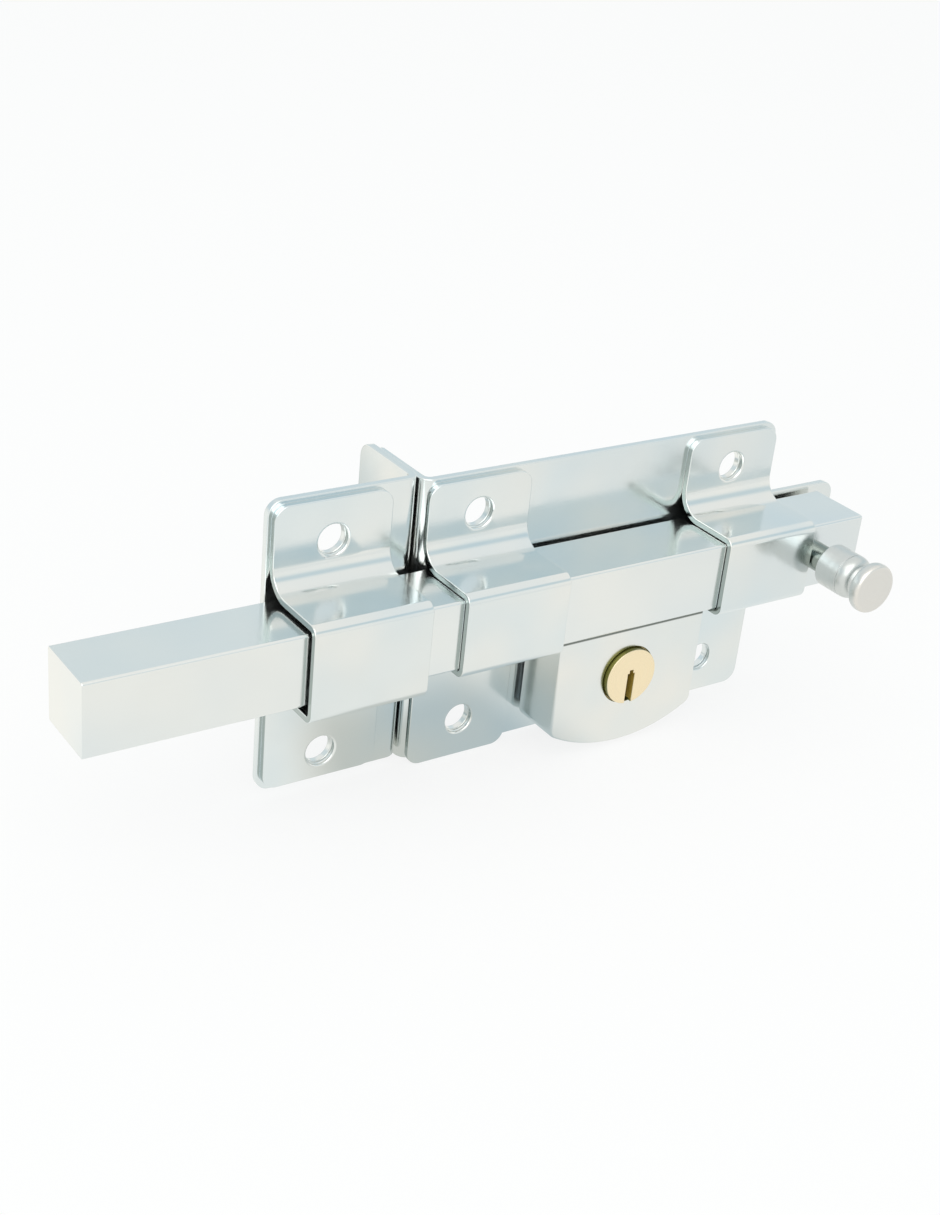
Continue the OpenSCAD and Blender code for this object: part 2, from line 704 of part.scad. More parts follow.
// Open spring clip in the tail's groove
module cam_clip() {
    color(satin) difference() {
        along_y(0, 0, cam_hub_r, clip_front, clip_front + clip_t);
        along_y(0, 0, clip_groove_r, clip_front - over, clip_front + clip_t + over);
        translate([-1.6, clip_front - over, -cam_hub_r - over]) cube([3.2, clip_t + 2 * over, cam_hub_r]);
    }
}

// Latch: head under the bar's notch, body with the spring's shoulder, arm over the cam
module locking_latch() {
    color(satin) {
        translate([latch_left, latch_front, latch_foot])
            cube([latch_w, latch_rear - latch_front, case_top - latch_foot]);
        translate([latch_left, latch_front, latch_foot])
            cube([latch_right - latch_left, latch_rear - latch_front, shoulder_z - latch_foot]);
        translate([latch_left, cam_front - 0.1, cam_base + turn_gap])
            cube([arm_end - latch_left, latch_rear - cam_front + 0.1, arm_h]);
    }
}

// Spring between the latch's shoulder and the case's roof
module latch_spring() {
    color(satin) translate([spring_x, spring_y, shoulder_z + 0.05])
        coil_spring(spring_r, spring_wire_r, roof_under - shoulder_z - 0.1, 6, 8, 14);
}

back_plate();
left_guide_strap();
right_guide_strap();
keeper_plate();
keeper_strap();
bolt_bar();
bolt_stop_pin();
knob_stud();
pull_knob();
lock_case();
case_back_cover();
case_screws();
cylinder_body();
cylinder_plug();
key_pins();
driver_pins();
pin_springs();
chamber_cover();
cylinder_screws();
plug_cam();
cam_clip();
locking_latch();
latch_spring();
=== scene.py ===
# %% [markdown]
# # A sliding bar bolt lock in bright plated steel
# A square bar slides in hat-shaped straps on an L-shaped plate and shoots into a keeper on the
# frame of the door. A key cylinder in a small arched case locks it. The solids come from the
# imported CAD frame, which fixes every size and place. This notebook gives them their looks:
# sheet edges that catch light, turned and bent pieces, plated and brass finishes, and a studio.

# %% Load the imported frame
import math

import bmesh
import bpy
import numpy as np
from mathutils import Matrix, Vector


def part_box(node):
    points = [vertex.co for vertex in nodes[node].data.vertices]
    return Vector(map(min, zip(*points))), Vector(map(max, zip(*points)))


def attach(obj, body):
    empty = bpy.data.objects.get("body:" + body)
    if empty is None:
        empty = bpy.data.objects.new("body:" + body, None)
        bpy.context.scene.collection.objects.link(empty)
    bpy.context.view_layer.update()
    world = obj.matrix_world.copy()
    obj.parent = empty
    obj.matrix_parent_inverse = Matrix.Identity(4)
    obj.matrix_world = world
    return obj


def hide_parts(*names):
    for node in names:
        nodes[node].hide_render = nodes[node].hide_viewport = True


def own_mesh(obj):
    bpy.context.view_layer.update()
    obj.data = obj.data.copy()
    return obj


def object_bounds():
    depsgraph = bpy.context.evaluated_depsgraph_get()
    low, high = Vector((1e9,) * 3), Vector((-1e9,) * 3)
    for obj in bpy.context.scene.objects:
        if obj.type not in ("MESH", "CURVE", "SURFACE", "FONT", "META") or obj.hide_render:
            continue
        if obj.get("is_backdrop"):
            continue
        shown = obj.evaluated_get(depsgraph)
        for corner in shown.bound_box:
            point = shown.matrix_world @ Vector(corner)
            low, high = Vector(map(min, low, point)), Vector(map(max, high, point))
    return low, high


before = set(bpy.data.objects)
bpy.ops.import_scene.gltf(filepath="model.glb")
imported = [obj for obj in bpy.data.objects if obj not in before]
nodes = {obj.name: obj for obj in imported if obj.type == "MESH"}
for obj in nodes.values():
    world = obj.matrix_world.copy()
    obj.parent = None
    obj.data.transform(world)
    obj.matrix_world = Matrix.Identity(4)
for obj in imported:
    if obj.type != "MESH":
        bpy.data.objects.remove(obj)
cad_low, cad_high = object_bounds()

MM = 0.001
print("nodes:", len(nodes), "CAD box in mm:", [round(v / MM, 1) for v in cad_high - cad_low])

# %% [markdown]
# ## The camera
# The photograph was taken from the left, above and in front, with the picture turned a few
# degrees. Its place was worked out from the straight edges, corners and holes of the lock, so
# three angles and one point describe it. Turning matrices are clearer here than aiming at a
# target, because an aimed camera has no roll.

# %% Camera at the photograph's viewing angle
AZIMUTH, ELEVATION, ROLL = (math.radians(a) for a in (36.11, 26.84, 5.92))
EYE = Vector((-283.4, -332.8, 228.0)) * MM
FOCAL_PX, PHOTO_HEIGHT, SENSOR = 1796.06, 1215, 36.0


def photo_camera():
    """Camera matrix: turn by the azimuth about Z, tip by the elevation, roll about the view."""
    axes = np.array([[1, 0, 0], [0, 0, -1], [0, 1, 0]], float)
    turn = np.array(Matrix.Rotation(AZIMUTH, 3, "Z"))
    tip = np.array(Matrix.Rotation(ELEVATION, 3, "X"))
    roll = np.array(Matrix.Rotation(ROLL, 3, "Z"))
    right, down, ahead = roll @ tip @ (axes @ turn)
    matrix = Matrix((right, -down, -ahead)).transposed().to_4x4()
    matrix.translation = EYE
    return matrix


camera = bpy.data.objects.new("camera", bpy.data.cameras.new("camera"))
bpy.context.scene.collection.objects.link(camera)
camera.data.sensor_width = SENSOR
camera.data.lens = FOCAL_PX / PHOTO_HEIGHT * SENSOR
camera.data.clip_start, camera.data.clip_end = 0.01, 20
camera.matrix_world = photo_camera()
bpy.context.scene.camera = camera
print("lens:", round(camera.data.lens, 1), "mm")

# %% [markdown]
# ## How a finish is described
# A metal's look is its tint, how rough it is, and the fine relief that its making left. Tints
# are written as the sRGB hex values that a colour picker shows, and Blender computes with
# linear light, so one function converts them. Patterns use Object coordinates, which are
# metres on the real lock, so a pattern's scale is one over its real feature size.

# %% Colour, scale and node helpers
def linear(code):
    """sRGB hex to linear RGBA: each channel over 12.92 near black, else its 2.4 power curve."""
    c = np.array([int(code[i : i + 2], 16) / 255 for i in (0, 2, 4)])
    lin = np.where(c <= 0.04045, c / 12.92, ((c + 0.055) / 1.055) ** 2.4)
    return (*lin.tolist(), 1.0)


def per_mm(size):
    """Texture scale in Object coordinates for features about size millimetres across."""
    return 1 / (size * MM)


def connect(tree, node, inputs):
    """Sets or links inputs, in a dict by name or a list in order. A node links by its output."""
    pairs = inputs.items() if isinstance(inputs, dict) else enumerate(inputs)
    for key, value in pairs:
        if isinstance(value, bpy.types.Node):
            value = next(o for o in value.outputs if o.enabled)
        if isinstance(value, bpy.types.NodeSocket):
            tree.links.new(value, node.inputs[key])
        else:
            node.inputs[key].default_value = value


def add(tree, kind, settings, inputs=()):
    """Adds a node with its settings and its inputs."""
    node = tree.nodes.new(kind)
    for key, value in settings.items():
        setattr(node, key, value)
    connect(tree, node, inputs)
    return node


def new_finish(name, tint, roughness):
    """A metal material: returns it with its node tree, shader and Object coordinates."""
    material = bpy.data.materials.new(name)
    material.use_nodes = True
    tree = material.node_tree
    shader = tree.nodes["Principled BSDF"]
    shader.inputs["Base Color"].default_value = linear(tint)
    shader.inputs["Metallic"].default_value = 1.0
    shader.inputs["Roughness"].default_value = roughness
    place = add(tree, "ShaderNodeTexCoord", {}).outputs["Object"]
    return material, tree, shader, place


print("white is", linear("FFFFFF")[:3], "and a 2 mm pattern has scale", per_mm(2))

# %% [markdown]
# Four kinds of node do most of the work here. A Noise Texture gives an uneven value, most of
# it between 0.3 and 0.7. A Map Range stretches that to the values a finish needs, and its
# smooth step has no kink where a tint begins or ends. A Mix blends two colours, and Math adds
# or multiplies. Their settings get short names.

# %% Settings that come up again
NOISE, RANGE, MIX, MATH = (
    f"ShaderNode{kind}" for kind in ("TexNoise", "MapRange", "Mix", "Math"))
SMOOTH, COLOURS = {"interpolation_type": "SMOOTHSTEP"}, {"data_type": "RGBA"}
PLUS, TIMES, LARGER, SIZE = (
    {"operation": name} for name in ("ADD", "MULTIPLY", "MAXIMUM", "ABSOLUTE"))
print("short names for", NOISE, RANGE, MIX, MATH)

# %% [markdown]
# ## Bright plating on rolled sheet
# The plates and straps are cold-rolled steel, pressed, then polished and plated. The plating
# is an almost white mirror that drifts between warm and cool in faint clouds. It is never
# quite flat: rolling and pressing leave waves some 14 mm long and a few hundredths of a
# millimetre high, which bend reflections. Polishing leaves a haze that varies from patch to
# patch, and hairlines along the sheet. The sheared edges of the straps face left and right,
# and stay greyer than their rolled faces.

# %% Finish: bright plated sheet
def clouds(tree, place, warm, cool, size):
    """Colour that drifts between a warm and a cool tint in clouds of size millimetres."""
    drift = add(tree, NOISE, {}, {"Vector": place, "Scale": per_mm(size), "Detail": 1.0})
    share = add(tree, RANGE, {}, [drift, 0.3, 0.7])
    return add(tree, MIX, COLOURS, {"Factor": share, "A": linear(warm), "B": linear(cool)})


def sheet_finish(name, sheared=None):
    """Plated sheet; if sheared is given, the edges that face along X take that tint."""
    material, tree, shader, place = new_finish(name, "EBEFEF", 0.14)
    tint = clouds(tree, place, "F1F1EE", "E3EBEE", 26.0)
    haze = add(tree, NOISE, {}, {"Vector": place, "Scale": per_mm(9.0), "Detail": 3.0})
    along = add(tree, "ShaderNodeMapping", {}, {"Vector": place, "Scale": (0.06, 1.0, 1.0)})
    hairlines = add(tree, NOISE, {}, {"Vector": along, "Scale": per_mm(0.5), "Detail": 4.0})
    patchy = add(tree, MATH, PLUS, [add(tree, RANGE, {}, [haze, 0.3, 0.7, 0.10, 0.19]),
                                    add(tree, RANGE, {}, [hairlines, 0.3, 0.7, 0.0, 0.03])])
    waves = add(tree, NOISE, {}, {"Vector": place, "Scale": per_mm(14.0), "Detail": 1.0})
    bent = add(tree, "ShaderNodeBump", {},
               {"Height": waves, "Distance": 0.030 * MM, "Strength": 0.6})
    scored = add(tree, "ShaderNodeBump", {},
                 {"Height": hairlines, "Distance": 0.0008 * MM, "Strength": 1.0, "Normal": bent})
    if sheared:
        facing = add(tree, "ShaderNodeTexCoord", {}).outputs["Normal"]
        sideways = add(tree, "ShaderNodeSeparateXYZ", {}, [facing]).outputs["X"]
        edge = add(tree, RANGE, SMOOTH, [add(tree, MATH, SIZE, [sideways]), 0.80, 0.97])
        tint = add(tree, MIX, COLOURS, {"Factor": edge, "A": tint, "B": linear(sheared)})
    connect(tree, shader, {"Base Color": tint, "Roughness": patchy, "Normal": scored})
    return material


plated_sheet = sheet_finish("bright_plated_rolled_sheet")
strap_sheet = sheet_finish("bright_plated_pressed_strap", "AFB9B7")
print("made", plated_sheet.name, strap_sheet.name)

# %% [markdown]
# ## Bright plating on drawn bar
# The bar is drawn through a die, which leaves faint lines along its length, then polished and
# plated. The lines are about 0.4 mm apart and 30 mm long, drawn a little coarser than real so
# that they show.

# %% Finish: bright plated drawn bar
plated_bar, tree, shader, place = new_finish("bright_plated_drawn_bar", "F1F2F0", 0.16)
along = add(tree, "ShaderNodeMapping", {}, {"Vector": place, "Scale": (0.015, 1.0, 1.0)})
die_lines = add(tree, NOISE, {}, {"Vector": along, "Scale": per_mm(0.45), "Detail": 3.0})
haze = add(tree, NOISE, {}, {"Vector": place, "Scale": per_mm(16.0), "Detail": 2.0})
patchy = add(tree, MATH, PLUS, [add(tree, RANGE, {}, [haze, 0.3, 0.7, 0.12, 0.19]),
                                add(tree, RANGE, {}, [die_lines, 0.3, 0.7, 0.0, 0.05])])
waves = add(tree, NOISE, {}, {"Vector": place, "Scale": per_mm(30.0), "Detail": 1.0})
bent = add(tree, "ShaderNodeBump", {}, {"Height": waves, "Distance": 0.035 * MM, "Strength": 0.5})
drawn = add(tree, "ShaderNodeBump", {},
            {"Height": die_lines, "Distance": 0.0012 * MM, "Strength": 1.0, "Normal": bent})
tint = clouds(tree, place, "F3F3F0", "E9EEF0", 34.0)
connect(tree, shader, {"Base Color": tint, "Roughness": patchy, "Normal": drawn})
print("made", plated_bar.name)

# %% [markdown]
# ## Buffed and plated casting
# The case is die cast, buffed on a wheel and plated. Buffing rounds everything a little and
# leaves a soft unevenness, like orange peel with grains of about 3 mm. A thin dark band of
# painted shade runs along the top of the case, where the bar overhangs it.

# %% Finish: plated casting
plated_casting, tree, shader, place = new_finish("buffed_plated_casting", "EFF0ED", 0.15)
peel = add(tree, NOISE, {}, {"Vector": place, "Scale": per_mm(3.2), "Detail": 2.0})
haze = add(tree, NOISE, {}, {"Vector": place, "Scale": per_mm(7.0), "Detail": 3.0})
patchy = add(tree, RANGE, {}, [haze, 0.3, 0.7, 0.19, 0.24])
soft = add(tree, "ShaderNodeBump", {}, {"Height": peel, "Distance": 0.002 * MM, "Strength": 0.7})
height = add(tree, "ShaderNodeSeparateXYZ", {}, [place]).outputs["Z"]
# Painted shade: the case turns dark grey above 13.7 mm, where the bar overhangs it.
painted_shade_under_bar = add(tree, RANGE, SMOOTH, [height, 13.35 * MM, 13.7 * MM])
tint = add(tree, MIX, COLOURS, {"Factor": painted_shade_under_bar, "B": linear("7D827E"),
                                "A": clouds(tree, place, "F2F1ED", "EAEEEE", 18.0)})
connect(tree, shader, {"Base Color": tint, "Roughness": patchy, "Normal": soft})
print("made", plated_casting.name)

# %% [markdown]
# ## Satin turned metal
# Knob, stud, plug and cylinder come off a lathe, so each of their surfaces carries fine rings
# round its axis. Distance from the axis plus distance along it changes steadily over every
# turned face, so one noise over that single number draws all the rings. Real ones are some
# 0.1 mm apart, and these are drawn 0.4 to 1.2 mm apart so that they show. The end face of the
# knob is a little brighter and warmer than its barrel. The stud's darker grey is painted shade
# between the knob and the bar.

# %% Finishes: satin turned metal and turned brass
BAR_RISE, KNOB_X = 26.0, 58.7


def turned_finish(name, tint, roughness, centre_x, centre_z, ring_mm, depth_mm):
    """Metal with turning rings about the axis through (centre_x, centre_z) along Y."""
    material, tree, shader, place = new_finish(name, tint, roughness)
    centre = (-centre_x * MM, 0, -centre_z * MM)
    local = add(tree, "ShaderNodeMapping", {}, {"Vector": place, "Location": centre})
    flat = add(tree, "ShaderNodeVectorMath", TIMES, [local, (1, 0, 1)])
    radius = add(tree, "ShaderNodeVectorMath", {"operation": "LENGTH"}, [flat])
    along = add(tree, "ShaderNodeSeparateXYZ", {}, [local]).outputs["Y"]
    ring = add(tree, MATH, PLUS, [radius, along])
    rings = add(tree, NOISE, {"noise_dimensions": "1D"},
                {"W": ring, "Scale": per_mm(ring_mm), "Detail": 1.0})
    patchy = add(tree, RANGE, {}, [rings, 0.3, 0.7, roughness - 0.05, roughness + 0.08])
    ridged = add(tree, "ShaderNodeBump", {},
                 {"Height": rings, "Distance": depth_mm * MM, "Strength": 0.8})
    connect(tree, shader, {"Roughness": patchy, "Normal": ridged})
    return material


satin_knob = turned_finish("satin_turned_metal", "DCDCD9", 0.33, KNOB_X, BAR_RISE, 1.2, 0.0004)
# Painted shade: the stud is tinted darker than the knob, for the shade between knob and bar.
painted_shade_stud = turned_finish("turned_stud_with_painted_shade", "9AA29C", 0.22, KNOB_X, BAR_RISE, 0.8, 0.003)
LAPPED_BRASS = "FDEBC8"
plug_brass = turned_finish("lapped_plug_brass", LAPPED_BRASS, 0.22, 0.0, 0.0, 1.0, 0.0006)
turned_brass = turned_finish("turned_brass", "EBD19B", 0.20, 0.0, 0.0, 0.4, 0.002)

HEAD_FACE = -45.2
tree = satin_knob.node_tree
place = add(tree, "ShaderNodeTexCoord", {}).outputs["Object"]
depth = add(tree, "ShaderNodeSeparateXYZ", {}, [place]).outputs["Y"]
behind = add(tree, RANGE, SMOOTH, [depth, (HEAD_FACE + 0.3) * MM, (HEAD_FACE + 1.6) * MM])
tint = add(tree, MIX, COLOURS, {"Factor": behind, "A": linear("ECE8E3"), "B": linear("D9DCDB")})
connect(tree, tree.nodes["Principled BSDF"], {"Base Color": tint})
print("made", satin_knob.name, painted_shade_stud.name, plug_brass.name, turned_brass.name)

# %% [markdown]
# ## Plain zinc on small parts
# Screws, cam, latch, clip and cover are barrel plated: a duller, slightly blue grey with a
# soft mottle of about 2 mm. The springs are bright drawn wire.

# %% Finishes: dull zinc and spring wire
dull_zinc, tree, shader, place = new_finish("barrel_plated_zinc", "C3C9CE", 0.34)
mottle = add(tree, NOISE, {}, {"Vector": place, "Scale": per_mm(2.0), "Detail": 4.0})
patchy = add(tree, RANGE, {}, [mottle, 0.3, 0.7, 0.27, 0.42])
pitted = add(tree, "ShaderNodeBump", {},
             {"Height": mottle, "Distance": 0.004 * MM, "Strength": 0.5})
connect(tree, shader, {"Roughness": patchy, "Normal": pitted})

spring_wire, tree, shader, place = new_finish("drawn_spring_wire", "B4B9BD", 0.28)
streaks = add(tree, NOISE, {}, {"Vector": place, "Scale": per_mm(0.6), "Detail": 2.0})
connect(tree, shader, {"Roughness": add(tree, RANGE, {}, [streaks, 0.3, 0.7, 0.22, 0.36])})
print("made", dull_zinc.name, spring_wire.name)

# %% [markdown]
# ## From arrays to a mesh
# Every new piece below is worked out as whole numpy arrays of points, in millimetres, on a
# grid of two parameters. One function turns grids into faces, and one closes the seams where
# patches meet and puts the piece on its body.

# %% Mesh helpers
def grid_faces(rows, columns, start=0):
    """Quads of a rows by columns grid whose first point has index start."""
    first = (np.arange(rows - 1)[:, None] * columns + np.arange(columns - 1)).ravel() + start
    return np.stack([first, first + 1, first + columns + 1, first + columns], 1)


def mesh_piece(name, points_mm, faces):
    """An object with these points and quads, its doubled points merged, shaded smooth."""
    mesh = bpy.data.meshes.new(name)
    mesh.from_pydata((np.asarray(points_mm, float) * MM).tolist(), [], np.asarray(faces).tolist())
    bm = bmesh.new()
    bm.from_mesh(mesh)
    bmesh.ops.remove_doubles(bm, verts=bm.verts, dist=1e-7)
    bmesh.ops.dissolve_degenerate(bm, dist=1e-8, edges=bm.edges)
    bm.to_mesh(mesh)
    bm.free()
    mesh.shade_smooth()
    piece = bpy.data.objects.new(name, mesh)
    bpy.context.scene.collection.objects.link(piece)
    return piece


def edge_break(piece, width_mm, segments):
    """Rounds each edge by its share of the width, its bevel weight, and keeps flat faces flat."""
    bevel = piece.modifiers.new("edge_break", "BEVEL")
    bevel.width, bevel.segments, bevel.limit_method = width_mm * MM, segments, "WEIGHT"
    bevel.miter_outer, bevel.use_clamp_overlap = "MITER_ARC", False
    normals = piece.modifiers.new("flat_faces", "WEIGHTED_NORMAL")
    normals.weight, normals.keep_sharp = 50, True


def finished(piece, material, body, slot, *replaced):
    """Gives a piece its finish, rides it on its body, and hides the CAD nodes it stands for."""
    piece.data.materials.clear()
    piece.data.materials.append(material)
    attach(piece, body)
    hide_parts(*replaced)


print("helpers ready")

# %% [markdown]
# ## The bent straps
# A strap is cut as a flat blank with two screw holes and rounded corners, then pressed round
# the bar. The mesh is made the same way. The blank lives in the plane of x, across the strap,
# and s, the length along it. A path in y and z says where each s ends up: flange, hollow foot
# bend, web, tight front bend, front wall, and back again. Bending the blank with the path
# keeps the holes round, because they lie where the path is straight. Solidify then gives the
# sheet its thickness behind the face that shows. A punch pulls the rim of a hole down, so the
# holes are rounded by 0.7 mm and the outline by 0.3 mm.

# %% Sizes of the straps, from the CAD model
PLATE_FRONT, STRAP_T, FOOT_R, FRONT_R = -2.0, 1.7, 6.0, 1.0
BAR_FRONT, BAR_HALF, CORNER_R, HOLE_R = -22.4, 9.5, 4.0, 4.0
HOLE_UP, HOLE_ROUND, OUTLINE_SHARE = 22.2, 0.7, 0.43
LEFT_X, RIGHT_X, GUIDE_W, GUIDE_GAP = -43.25, 39.35, 30.5, 0.2
GUIDE_UP, GUIDE_DOWN, GUIDE_HOLE_DOWN = 31.6, 47.8, 37.0
KEEPER_X, KEEPER_W, KEEPER_GAP, KEEPER_SAG = -84.8, 32.0, 0.9, 1.4
KEEPER_UP, KEEPER_DOWN, KEEPER_HOLE_DOWN = 33.0, 43.6, 36.0


def arc(centre, radius, start, end, steps):
    """Points of an arc in y and z between two angles in degrees."""
    a = np.radians(np.linspace(start, end, steps))
    return np.stack([centre[0] + radius * np.cos(a), centre[1] + radius * np.sin(a)], 1)


def half_path(front, half):
    """Face that shows of half a strap, from the fold of its flange to the middle of its front."""
    flange = PLATE_FRONT - STRAP_T
    web = half + STRAP_T
    foot = arc((flange - FOOT_R, web + FOOT_R), FOOT_R, 0, -90, 20)
    nose = arc((front + FRONT_R, half - FRONT_R), FRONT_R + STRAP_T, 90, 180, 14)
    return np.concatenate([foot, nose])


def flange_outline(width, length, columns):
    """Outline of a flange as (x, s): along the fold, then up, round and down the free end."""
    r, w = CORNER_R, width / 2
    across = np.linspace(-w, w, columns)
    side = np.linspace(0, length - r, 24)[1:]
    turn = np.radians(np.linspace(0, 90, 10))[1:]
    right = np.stack([np.full(side.size, w), side], 1)
    corner = np.stack([w - r + r * np.cos(turn), length - r + r * np.sin(turn)], 1)
    top = np.stack([np.linspace(w - r, r - w, 40)[1:], np.full(39, length)], 1)
    fold = np.stack([across, np.zeros(columns)], 1)
    left_corner, left = corner[::-1] * (-1, 1), right[::-1] * (-1, 1)
    return np.concatenate([fold, right, corner, top, left_corner[1:], left])


def weigh_rims(piece, holes_mm):
    """Bevel weights of the blank's rims: all of it round the holes, a share on the outline."""
    bm = bmesh.new()
    bm.from_mesh(piece.data)
    layer = bm.edges.layers.float.new("bevel_weight_edge")
    for edge in [e for e in bm.edges if e.is_boundary]:
        spot = (edge.verts[0].co + edge.verts[1].co) / 2 / MM
        at_hole = any(math.hypot(spot.x - x, spot.z - z) < HOLE_R + 0.1 for x, z in holes_mm)
        edge[layer] = 1.0 if at_hole else OUTLINE_SHARE
    bm.to_mesh(piece.data)
    bm.free()


def bent_strap(name, centre_x, width, gap, sag, up, down, hole_down, columns=49):
    """Blank bent along its path: the middle is (x, path(s)), each flange a ring round its hole."""
    front = BAR_FRONT - gap
    upper = half_path(front, BAR_HALF + gap)
    lower = half_path(front, BAR_HALF + gap + sag)[::-1] * (1, -1)
    path = np.concatenate([upper, lower])
    x = np.linspace(-width / 2, width / 2, columns)
    middle = np.stack([np.broadcast_to(x, (len(path), columns)),
                       np.repeat(path[:, :1], columns, 1),
                       np.repeat(path[:, 1:], columns, 1)], -1).reshape(-1, 3)
    points, faces, count = [middle], [grid_faces(len(path), columns)[:, ::-1]], len(middle)
    ends = ((1, up, HOLE_UP, path[0, 1]), (-1, down, hole_down, -path[-1, 1]))
    for side, end, hole, fold in ends:
        outline = flange_outline(width, end - fold, columns)
        centre = np.array([0, hole - fold])
        ray = outline - centre
        rim = centre + HOLE_R * ray / np.linalg.norm(ray, axis=1, keepdims=True)
        ring = np.concatenate([outline, outline[:1], rim, rim[:1]])
        depth = np.full(len(ring), PLATE_FRONT - STRAP_T)
        points.append(np.stack([ring[:, 0], depth, side * (fold + ring[:, 1])], 1))
        quads = grid_faces(2, len(outline) + 1, count)
        faces.append(quads if side > 0 else quads[:, ::-1])
        count += len(ring)
    cloud = np.concatenate(points) + (centre_x, 0, BAR_RISE)
    piece = mesh_piece(name, cloud, np.concatenate(faces))
    sheet = piece.modifiers.new("thickness", "SOLIDIFY")
    sheet.thickness, sheet.offset, sheet.use_even_offset = STRAP_T * MM, -1, True
    weigh_rims(piece, [(centre_x, BAR_RISE + HOLE_UP), (centre_x, BAR_RISE - hole_down)])
    edge_break(piece, HOLE_ROUND, 4)
    behind_front = (front - STRAP_T + 0.01) * MM
    facing = [p.normal.y for p in piece.data.polygons if p.center.y < behind_front]
    print(name, "quads:", len(piece.data.polygons), "front faces -Y:", max(facing) < 0)
    return piece


guide_sizes = (GUIDE_W, GUIDE_GAP, 0.0, GUIDE_UP, GUIDE_DOWN, GUIDE_HOLE_DOWN)
left_strap = bent_strap("left_strap_sheet", LEFT_X, *guide_sizes)
right_strap = bent_strap("right_strap_sheet", RIGHT_X, *guide_sizes)
keeper_strap = bent_strap("keeper_strap_sheet", KEEPER_X, KEEPER_W, KEEPER_GAP, KEEPER_SAG,
                          KEEPER_UP, KEEPER_DOWN, KEEPER_HOLE_DOWN)
finished(left_strap, strap_sheet, "lock", "sheet", "left_guide_strap")
finished(right_strap, strap_sheet, "lock", "sheet", "right_guide_strap")
finished(keeper_strap, strap_sheet, "lock", "sheet", "keeper_strap")

# %% [markdown]
# ## Edges that catch the light
# The plates, the bar, the case and the key plug already have the right faces in the CAD frame.
# What a CAD face lacks is the fine rounding that polishing leaves on every edge, and without
# it metal looks like paper. A copy of the CAD mesh is merged from loose triangles, its flat
# faces are joined, and each edge gets a weight that says how much of the bevel it takes.

# %% A merged copy of a CAD node with weighted edges
def upright_seams(bm, depth_mm):
    """Joins the face at this depth anew: a face round a hole is cut in two at x = 0 only."""
    parts = bm.verts[:] + bm.edges[:] + bm.faces[:]
    bmesh.ops.bisect_plane(bm, geom=parts, dist=1e-7, plane_co=(0, 0, 0), plane_no=(1, 0, 0))
    inside = [e for e in bm.edges if e.calc_face_angle(9) < 0.005
              and all(abs(v.co.y - depth_mm * MM) < 1e-6 for v in e.verts)
              and max(abs(v.co.x) for v in e.verts) > 1e-6]
    bmesh.ops.dissolve_edges(bm, edges=inside, use_verts=False)
    print("slanting seams removed:", len(inside))


def merged_copy(node, name, weigh, width_mm, segments=3, seam_depth_mm=None):
    """Copies a CAD mesh, merges it, and bevels edges by weigh(midpoints in mm), from 0 to 1."""
    source = nodes[node].data
    points = np.array([v.co for v in source.vertices]) / MM
    piece = mesh_piece(name, points, [list(p.vertices) for p in source.polygons])
    bm = bmesh.new()
    bm.from_mesh(piece.data)
    bmesh.ops.dissolve_limit(bm, angle_limit=math.radians(0.3), verts=bm.verts, edges=bm.edges)
    if seam_depth_mm is not None:
        upright_seams(bm, seam_depth_mm)
    bmesh.ops.recalc_face_normals(bm, faces=bm.faces)
    layer = bm.edges.layers.float.new("bevel_weight_edge")
    edges = [e for e in bm.edges if len(e.link_faces) == 2]
    angle = np.degrees([e.calc_face_angle(0) for e in edges])
    middle = np.array([(e.verts[0].co + e.verts[1].co) / 2 for e in edges]) / MM
    weight = np.where(angle > 30, weigh(middle), 0)
    for edge, share, bent in zip(edges, weight, angle):
        edge[layer] = share
        edge.smooth = bool(share > 0 or bent < 30)
    bm.to_mesh(piece.data)
    bm.free()
    edge_break(piece, width_mm, segments)
    print(name, "edges rounded:", int((weight > 0).sum()), "of", len(edges))
    return piece


def every_edge(middle):
    """The same rounding everywhere."""
    return np.ones(len(middle))


lock_plate = merged_copy("back_plate", "lock_plate_sheet", every_edge, 0.3)
keeper_plate = merged_copy("keeper_plate", "keeper_plate_sheet", every_edge, 0.3)
finished(lock_plate, plated_sheet, "lock", "sheet", "back_plate")
finished(keeper_plate, plated_sheet, "lock", "sheet", "keeper_plate")

square_bar = merged_copy("bolt_bar", "square_bar", every_edge, 0.22)
finished(square_bar, plated_bar, "bolt", "bar", "bolt_bar")

# %% [markdown]
# ## The arched case
# A casting is rounder than sheet, so its outer rims get 0.6 mm, and the hole for the key plug
# a finer 0.25 mm. The seats and bosses inside stay crisp, since nobody polishes them. A rim is
# found by distance: its points lie on the sides, on the roof, on the wide arc below or on the
# small circle that rounds each lower corner.

# %% Case with its own rounding for each edge
CASE_FRONT, CASE_HALF, CASE_TOP, CASE_LOW = -18.4, 23.8, 16.1, -13.5
CASE_ARC_R, CASE_CORNER_R = 45.7, 2.6


def case_edges(middle):
    """Share of 0.6 mm by place: outer rims all of it, the plug's hole 0.4, the inside none."""
    x, y, z = np.abs(middle[:, 0]), middle[:, 1], middle[:, 2]
    arc_z = math.sqrt(CASE_ARC_R**2 - CASE_HALF**2) + CASE_LOW
    corner_x = CASE_HALF - CASE_CORNER_R
    corner_z = arc_z - math.sqrt((CASE_ARC_R - CASE_CORNER_R) ** 2 - corner_x**2)
    on_arc = np.abs(np.hypot(x, z - arc_z) - CASE_ARC_R) < 0.15
    on_corner = np.abs(np.hypot(x - corner_x, z - corner_z) - CASE_CORNER_R) < 0.1
    outside = on_arc & (z < corner_z) | on_corner | (x > CASE_HALF - 0.05) | (z > CASE_TOP - 0.05)
    hole = (np.hypot(x, z) < 8.6) & (y < CASE_FRONT + 0.1)
    return np.where(outside, 1.0, np.where(hole, 0.4, 0.0))


